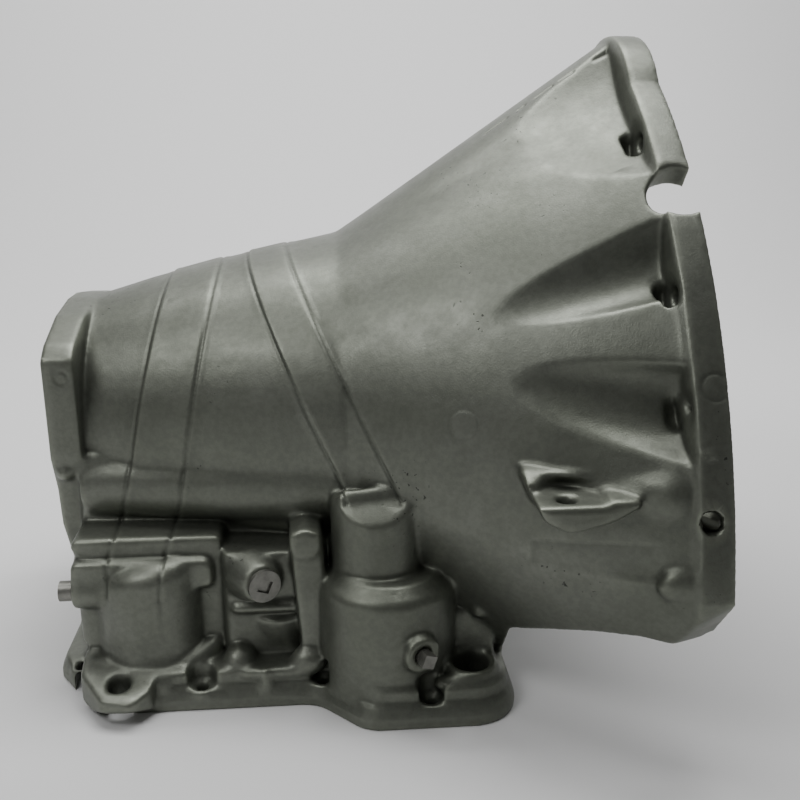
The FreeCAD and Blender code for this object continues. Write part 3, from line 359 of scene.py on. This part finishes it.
def bend(mesh, rounds):
    """How each place bends, 0 in a crease, 0.5 on a plain face, 1 on an edge: the normal part
    of the step from a vertex to the mean of its neighbours, evened out."""
    v = vertices_of(mesh)
    n = len(v)
    a, b, degree = neighbours(mesh)
    degree = np.maximum(degree, 1)

    def mean(values):
        return (np.bincount(a, values[b], n) + np.bincount(b, values[a], n)) / degree
    drift = np.stack([mean(v[:, k]) for k in range(3)], 1) - v
    value = -(drift * normals_of(mesh)).sum(1)
    for _ in range(rounds):
        value = 0.5 * value + 0.5 * mean(value)
    return np.clip(0.5 + value / BEND_RANGE, 0.0, 1.0)


# ------------------------------------------------------------------ closed forms on a grid
AROUND = 28                    # corners of a ring on bars and balls
ARC_STEPS = 12                 # rings along a sector
CUTTER_SIDES = 64


def grid_faces(rows, columns, first):
    """Quads of a tube of rings, with a fan of triangles at each end."""
    ring = np.arange(columns)
    after = (ring + 1) % columns
    faces = []
    for row in range(rows - 1):
        a, b = first + row * columns, first + (row + 1) * columns
        faces += np.stack([a + ring, a + after, b + after, b + ring], 1).tolist()
    start, end = first + rows * columns, first + rows * columns + 1
    last = first + (rows - 1) * columns
    faces += np.stack([np.full(columns, start), first + after, first + ring], 1).tolist()
    faces += np.stack([np.full(columns, end), last + ring, last + after], 1).tolist()
    return faces


def rounded_bar(a, b, ra, rb, first=0):
    """Bar from a to b whose radius runs straight from ra to rb, with a half ball at each end.
    Each ring is centre + radius * (u * cos t + v * sin t), u and v square to the bar, u level;
    so no bar stands upright."""
    a, b = np.array(a, float), np.array(b, float)
    length = np.linalg.norm(b - a)
    way = (b - a) / length
    side = np.cross(way, [0.0, 0.0, 1.0])
    side /= np.linalg.norm(side)
    up = np.cross(side, way)
    turn = np.linspace(0.0, 2 * math.pi, AROUND, endpoint=False)
    bow = np.linspace(0.2, math.pi / 2, 6)
    place = np.concatenate([-ra * np.cos(bow), length + rb * np.cos(bow[::-1])])
    radius = np.concatenate([ra * np.sin(bow), rb * np.sin(bow[::-1])])
    rings = (a + place[:, None, None] * way
             + radius[:, None, None] * (np.cos(turn)[None, :, None] * side
                                        + np.sin(turn)[None, :, None] * up))
    poles = np.stack([a - ra * way, b + rb * way])
    return np.concatenate([rings.reshape(-1, 3), poles]), grid_faces(len(place), AROUND, first)


def ball(centre, radii, first=0):
    """Ellipsoid: centre + radii * (cos a * sin t, sin a * sin t, cos t) on a grid of a and t."""
    polar = np.linspace(0.0, math.pi, 16)[1:-1]
    turn = np.linspace(0.0, 2 * math.pi, AROUND, endpoint=False)
    unit = np.stack([np.sin(polar)[:, None] * np.cos(turn), -np.sin(polar)[:, None] * np.sin(turn),
                     np.cos(polar)[:, None] * np.ones(AROUND)], 2)
    poles = np.array([[0.0, 0.0, 1.0], [0.0, 0.0, -1.0]])
    points = np.concatenate([unit.reshape(-1, 3), poles]) * radii + centre
    return points, grid_faces(len(polar), AROUND, first)


def block(low, high, first=0):
    """Block between two outlines of four corners each, the second above the first."""
    quads = np.array([[3, 2, 1, 0], [4, 5, 6, 7], [0, 1, 5, 4], [1, 2, 6, 5], [2, 3, 7, 6],
                      [3, 0, 4, 7]])
    return np.array(list(low) + list(high), float), (quads + first).tolist()


def sector(angles, inner, outer, ends, place, first=0):
    """Part of a flat ring between two radii that change with the angle: each ring of corners is
    place(end, r sin a, r cos a) for the two ends and the two radii, wound outwards."""
    turn = np.radians(np.linspace(angles[0], angles[-1], ARC_STEPS))
    radii = [np.interp(turn, np.radians(angles), r) for r in (inner, outer)]
    corners = [(ends[0], radii[0]), (ends[0], radii[1]), (ends[1], radii[1]), (ends[1], radii[0])]
    rings = np.stack([np.stack(place(np.full(ARC_STEPS, end), r * np.sin(turn), r * np.cos(turn)), 1)
                      for end, r in corners], 1)
    sides = [rings[0, 1] - rings[0, 0], rings[0, 3] - rings[0, 0], rings[1, 0] - rings[0, 0]]
    if np.linalg.det(sides) < 0:
        rings = rings[:, ::-1]
    poles = np.stack([rings[0].mean(0), rings[-1].mean(0)])
    return np.concatenate([rings.reshape(-1, 3), poles]), grid_faces(ARC_STEPS, 4, first)


def cylinder(place, radius, low, high):
    """Upright cylinder: (x + r cos t, y + r sin t, z) at two heights, a fan on each end."""
    turn = np.linspace(0.0, 2 * math.pi, CUTTER_SIDES, endpoint=False)
    ring = np.stack([place[0] + radius * np.cos(turn), place[1] + radius * np.sin(turn)], 1)
    rings = [np.column_stack([ring, np.full(CUTTER_SIDES, z)]) for z in (low, high)]
    poles = [[*place, low], [*place, high]]
    return np.concatenate(rings + [poles]), grid_faces(2, CUTTER_SIDES, 0)


# ------------------------------------------------------------------ forms joined to the casting
# Spot face of the bell lug, in millimetres: its hole, radius and height, the top of the cut
# above it, and the wall that stands behind it, from the hole.
LUG_PLACE = (-86.0, -204.0)
LUG_FACE_R = 17.0
LUG_FACE_Z = 2.0
LUG_CUT_TOP = 24.0
LUG_WALL_ANGLES = [-58.0, 52.0]
LUG_WALL_R = 24.0
LUG_WALL_Z = (1.0, 7.5)

# What closes the back of the flange behind each scallop: angles from the top, then the inner
# and outer radius at each of them.  They reach from the flange's back to the engine face.
FLANGE_BACKS = [([3.0, 11.0, 20.5], [240.0, 208.0, 198.0], [242.0, 232.0, 214.0]),
                ([45.0, 49.0, 53.4], [189.0, 180.0, 180.0], [196.0, 195.0, 195.0]),
                ([79.8, 84.0], [187.0, 200.0], [206.0, 209.0])]
FLANGE_X = (-20.0, 0.0)


def cast_forms():
    """Small cast forms on the right side: lumps, ribs, ridges and fillets, in millimetres."""
    forms = []

    def put(maker, *values):
        first = sum(len(points) for points, _ in forms)
        forms.append(maker(*values, first=first))
    # guide cylinder: ridge on its cap, and the knob beside it
    put(rounded_bar, (-206, -138, -20), (-172, -138, -17), 4.5, 4.5)
    put(ball, (-161, -134, -17), (7.0, 7.0, 5.0))
    # wall between the front servo and the bell
    put(ball, (-153, -128, -52), (7.0, 7.0, 6.0))
    put(ball, (-142, -128, -55), (6.5, 7.0, 6.0))
    # lumps at the foot of the port's web, and the fillet between them
    put(ball, (-275, -134, -131), (11.0, 11.0, 10.0))
    put(ball, (-231, -140, -130), (12.0, 10.0, 10.0))
    put(rounded_bar, (-270, -146, -134), (-236, -146, -134), 4.0, 4.0)
    # shelf under the port and the rib on the skirt wall
    put(rounded_bar, (-276, -130, -97), (-240, -130, -97), 3.5, 3.5)
    put(rounded_bar, (-258, -149, -132), (-258, -150, -146), 3.0, 3.0)
    # band from the rear servo's foot down to the rail
    put(rounded_bar, (-292, -122, -126), (-322, -146, -139), 6.0, 5.0)
    put(rounded_bar, (-366, -130, -131), (-324, -136, -131), 4.0, 4.0)
    # rib and flank ahead of the front servo
    put(block, [(-140, -110, -150), (-110, -110, -150), (-110, -150, -150), (-140, -146, -150)],
        [(-138, -110, -96), (-114, -110, -102), (-114, -146, -104), (-138, -142, -98)])
    put(block, [(-127, -110, -100), (-112, -110, -100), (-112, -153, -100), (-127, -151, -100)],
        [(-127, -110, -72), (-124, -110, -72), (-124, -151, -72), (-127, -149, -72)])
    put(rounded_bar, (-150, -170, -133), (-134, -172, -128), 4.0, 4.0)
    # bell: bulge ahead of the lug, and the lump with a lip near its lower corner
    put(rounded_bar, (-68, -179, 0), (-26, -201, 2), 15.0, 21.0)
    put(ball, (-18, -227, -42), (22.0, 7.5, 12.0))
    put(rounded_bar, (-30, -226, -53), (-6, -231, -52), 3.5, 3.5)
    # fin behind the flange
    put(block, [(-21, -180, 51), (-16, -180, 54), (-12, -214, 24), (-20, -212, 24)],
        [(-21, -184, 56), (-16, -184, 58), (-8, -221, 30), (-20, -219, 30)])
    # boss in the side pocket of the extension flange
    put(rounded_bar, (-384, -80, -17), (-384, -88, -17), 6.0, 6.0)
    # rear end of the swell
    put(ball, (-371, -68, -30), (6.0, 24.0, 24.0))
    for side in (-1, 1):
        for angles, inner, outer in FLANGE_BACKS:
            put(sector, angles, inner, outer, FLANGE_X,
                lambda x, across, up: (x, side * across, up))
    # ridge above the spot face of the bell lug, and the wall behind it
    put(rounded_bar, (-106, -183.5, 9.5), (-62, -195, 10), 2.4, 2.4)
    put(sector, LUG_WALL_ANGLES, [LUG_FACE_R] * 2, [LUG_WALL_R] * 2, LUG_WALL_Z,
        lambda z, across, away: (LUG_PLACE[0] + across, LUG_PLACE[1] + away, z))
    points = np.concatenate([points for points, _ in forms]) * MM
    faces = [face for _, group in forms for face in group]
    return points, faces


def join_forms(obj):
    """Adds the small cast forms to the casting's mesh as closed shells."""
    points, faces = cast_forms()
    extra = bpy.data.meshes.new("cast_forms")
    extra.from_pydata(points.tolist(), [], faces)
    edit = bmesh.new()
    edit.from_mesh(obj.data)
    edit.from_mesh(extra)
    edit.to_mesh(obj.data)
    edit.free()
    bpy.data.meshes.remove(extra)


def face_lug(obj):
    """Cuts the spot face of the bell lug clear upwards: an upright cylinder."""
    points, faces = cylinder(LUG_PLACE, LUG_FACE_R, LUG_FACE_Z, LUG_CUT_TOP)
    mesh = bpy.data.meshes.new("lug_cutter")
    mesh.from_pydata((points * MM).tolist(), [], faces)
    cutter = bpy.data.objects.new("lug_cutter", mesh)
    bpy.context.collection.objects.link(cutter)
    cut = obj.modifiers.new("cut", "BOOLEAN")
    cut.operation = "DIFFERENCE"
    cut.solver = "EXACT"
    cut.object = cutter
    applied(obj)
    bpy.data.objects.remove(cutter)
    bpy.data.meshes.remove(mesh)


# ------------------------------------------------------------------ relief of the cast skin
# All in millimetres.  Lines of the strap edges, on the barrel seen from the side: heights and
# the places along the shaft at them.
STRAP_LINES = [([-84, -62, -40, 118], [-356, -355, -348, -317]),
               ([-84, -62, -40, 118], [-322, -320, -312, -284]),
               ([-22, 118], [-205.4, -271]), ([-22, 118], [-171.9, -241])]
STRAP_SLANT = 0.96             # distance across a line, from the distance along the shaft
BARREL_X = (-372, -168)
BARREL_HALF = 150
BARREL_REAR = (82, -392, 0.16)   # radius and place of its rear end, and its taper
LEDGE_TOP = -48
PARTING = [(-104, -88), (-82, -76), (-71, -58), (-55, -44), (-32, -22)]   # dashes along X
PARTING_Y = -17
CROWN_Z = 150
EJECTOR_MARKS = [((-7, -203, 63), 7.6, 0.5), ((-380, -92, 47), 4.0, 0.5),
                 ((-136, -155, 30), 9.0, 0.3)]   # centre, radius and depth
RECESS_X = (-100, -39)         # shallow recess on the bell, its top and low edges at the ends
RECESS_TOP = (-31, -21)
RECESS_LOW = (-47, -41)
RECESS_DEPTH = 1.1
DIMPLE = (-13, -5)             # round dimple near the flange, X and Z
DIMPLE_R = 5.8
DIMPLE_DEPTH = 7.0


def soft_step(t):
    """0 below, 1 above, a smooth rise between -1 and 1."""
    t = np.clip(t * 0.5 + 0.5, 0.0, 1.0)
    return t * t * (3 - 2 * t)


def hump(distance, width):
    """1 on a line, falling off to both sides as exp(-(distance / width)^2)."""
    return np.exp(-(distance / width) ** 2)


def strap_grooves(x, y, z):
    """Groove along each edge of the straps, with a low swell ahead of it."""
    height, keep = np.zeros(len(x)), np.zeros(len(x))
    rear_r, rear_x, taper = BARREL_REAR
    barrel = (soft_step((x - BARREL_X[0]) / 3) * soft_step((BARREL_X[1] - x) / 4)
              * (np.abs(y) < BARREL_HALF))
    outer = (np.hypot(y, z) > rear_r + (x - rear_x) * taper) | (z < LEDGE_TOP)
    for heights, places in STRAP_LINES:
        off = (x - np.interp(z, heights, places)) * STRAP_SLANT
        live = barrel * outer * (z > min(heights) - 2)
        height += live * (0.25 * hump(off - 2.6, 1.4) - 0.75 * hump(off, 1.0))
        keep = np.maximum(keep, live * hump(off, 3.0))
    return height, keep


def parting_line(x, y, z):
    """Dashes of the parting line along the crown of the bell."""
    dashes = np.zeros(len(x))
    for start, end in PARTING:
        dashes = np.maximum(dashes, soft_step(x - start) * soft_step(end - x))
    crown = z > CROWN_Z
    height = -0.9 * hump(y - PARTING_Y, 1.1) * crown * dashes
    return height, hump(y - PARTING_Y, 3.0) * crown * (dashes > 0)


def ejector_marks(x, y, z):
    """A fine round groove at each ejector pin."""
    height, keep = np.zeros(len(x)), np.zeros(len(x))
    for (cx, cy, cz), radius, depth in EJECTOR_MARKS:
        away = np.sqrt((x - cx) ** 2 + (y - cy) ** 2 + (z - cz) ** 2) - radius
        height -= depth * hump(away, 0.9)
        keep = np.maximum(keep, hump(away, 2.5))
    return height, keep


def bell_recess(x, y, z):
    """Shallow recess on the right of the bell, with soft edges."""
    top = np.interp(x, RECESS_X, RECESS_TOP)
    low = np.interp(x, RECESS_X, RECESS_LOW)
    inside = (soft_step((x - RECESS_X[0]) / 1.2) * soft_step((RECESS_X[1] + 1 - x) / 6)
              * soft_step((top - z) / 1.5) * soft_step((z - low) / 3))
    return -RECESS_DEPTH * (y < -150) * inside, np.zeros(len(x))


def flange_dimple(x, y, z):
    """Deep round dimple in the flank just behind the engine face."""
    away = np.hypot(x - DIMPLE[0], z - DIMPLE[1]) + 100 * (y > -200)
    return -DIMPLE_DEPTH * soft_step(DIMPLE_R - away), 1.0 * (away < DIMPLE_R + 2.7)


def skin_relief(p):
    """Height added along the normal, and how finely each place is kept, 0 to 1, from places in
    millimetres."""
    parts = [relief(*p.T) for relief in (strap_grooves, parting_line, ejector_marks, bell_recess,
                                         flange_dimple)]
    height = sum(part[0] for part in parts)
    keep = np.max([part[1] for part in parts], axis=0)
    return height, np.clip(keep, 0, 1)


# ------------------------------------------------------------------ the casting
def machined(p):
    """Which coordinate a machined face holds: x on the engine and extension faces, z on the
    pan face (metres)."""
    x, _, z = p.T
    across = (x > ENGINE_FACE_X) | ((x < EXTENSION_FACE_X) & (z > EXTENSION_LOW_Z))
    return np.stack([across, np.zeros(len(p), bool), z < PAN_FACE_Z], 1)


def inside_cad(places):
    """Places held inside the CAD model's box."""
    return np.clip(places, np.array(cad_low), np.array(cad_high))


def even_skin(case):
    """One skin of even cells over the CAD solid and the forms on it, its cast edges eased into
    soft fillets while machined faces stay in their planes.  Returns how finely each vertex is
    kept."""
    even = case.modifiers.new("even", "REMESH")
    even.mode = "VOXEL"
    even.voxel_size = full_or_quick(CELL)
    applied(case)
    mesh = case.data
    before = vertices_of(mesh)
    held = machined(before)
    flat = held.any(1)
    ease(mesh, np.where(flat, MACHINED_EASING, CAST_EASING), full_or_quick(EASING_ROUNDS))
    p = np.where(held, before, vertices_of(mesh))
    set_vertices(mesh, p)
    height, keep = skin_relief(p / MM)
    p += (height * MM * ~flat)[:, None] * normals_of(mesh)
    set_vertices(mesh, inside_cad(p))
    return keep


def thin_skin(case, keep):
    """Fewer triangles on plain faces; where the relief is fine the mesh stays as it is."""
    fine = keep > FINE_DETAIL
    plain = case.vertex_groups.new(name="plain")
    plain.add(np.nonzero(fine)[0].tolist(), 0.0, "REPLACE")
    plain.add(np.nonzero(~fine)[0].tolist(), 1.0, "REPLACE")
    thin = case.modifiers.new("thin", "DECIMATE")
    thin.ratio = min(1.0, MOST_TRIANGLES / (2 * len(case.data.polygons)))
    thin.vertex_group = "plain"
    thin.vertex_group_factor = 1.0
    applied(case)
    set_vertices(case.data, inside_cad(vertices_of(case.data)))


def dress_casting(finish):
    """The casting: the CAD solid and the small cast forms as one skin, with an attribute of
    where the skin bends, which its finish turns into painted shade in the creases and a painted
    highlight on the edges."""
    case = merged_copy("case", "cast_case")
    face_lug(case)
    join_forms(case)
    keep = even_skin(case)
    # how the skin bends, stored for the finish's painted crease shade and painted edge highlight
    bend_for_painted_light = case.data.attributes.new("bend_for_painted_light", "FLOAT", "POINT")
    bend_for_painted_light.data.foreach_set("value", bend(case.data, full_or_quick(BEND_ROUNDS)).astype(np.float32))
    thin_skin(case, keep)
    mesh = case.data
    mesh.shade_smooth()
    mesh.set_sharp_from_angle(angle=math.radians(SHARP_ANGLE))
    mesh.materials.clear()
    mesh.materials.append(finish)
    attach(case, "root")
    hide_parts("case")


# ------------------------------------------------------------------ steel and rubber pieces
def paint(node, material):
    """Gives every slot of a CAD node's object one finish."""
    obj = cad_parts[node]
    if not obj.material_slots:
        obj.data.materials.append(material)
    for held in obj.material_slots:
        held.material = material


def dress_steel():
    """Finishes for the steel and rubber pieces, which keep their CAD shapes."""
    plated = steel_finish("plated_steel", PLATED_DARK, PLATED_LIGHT, 0.42)
    bright = steel_finish("bright_steel", BRIGHT_DARK, BRIGHT_LIGHT, 0.3)
    for node in ("servo_pressure_plug", "governor_pressure_plug", "line_pressure_plug",
                 "rear_gallery_plug", "band_adjusting_screw", "adjuster_lock_nut"):
        paint(node, plated)
    for node in ("clutch_cam", "cam_set_screw", "kickdown_lever_pin", "reverse_lever_pin",
                 "reverse_pin_plug"):
        paint(node, bright)
    paint("manual_shaft_seal", rubber_finish())


set_camera()
set_lamps()
lay_floor()
dress_casting(cast_finish())
dress_steel()
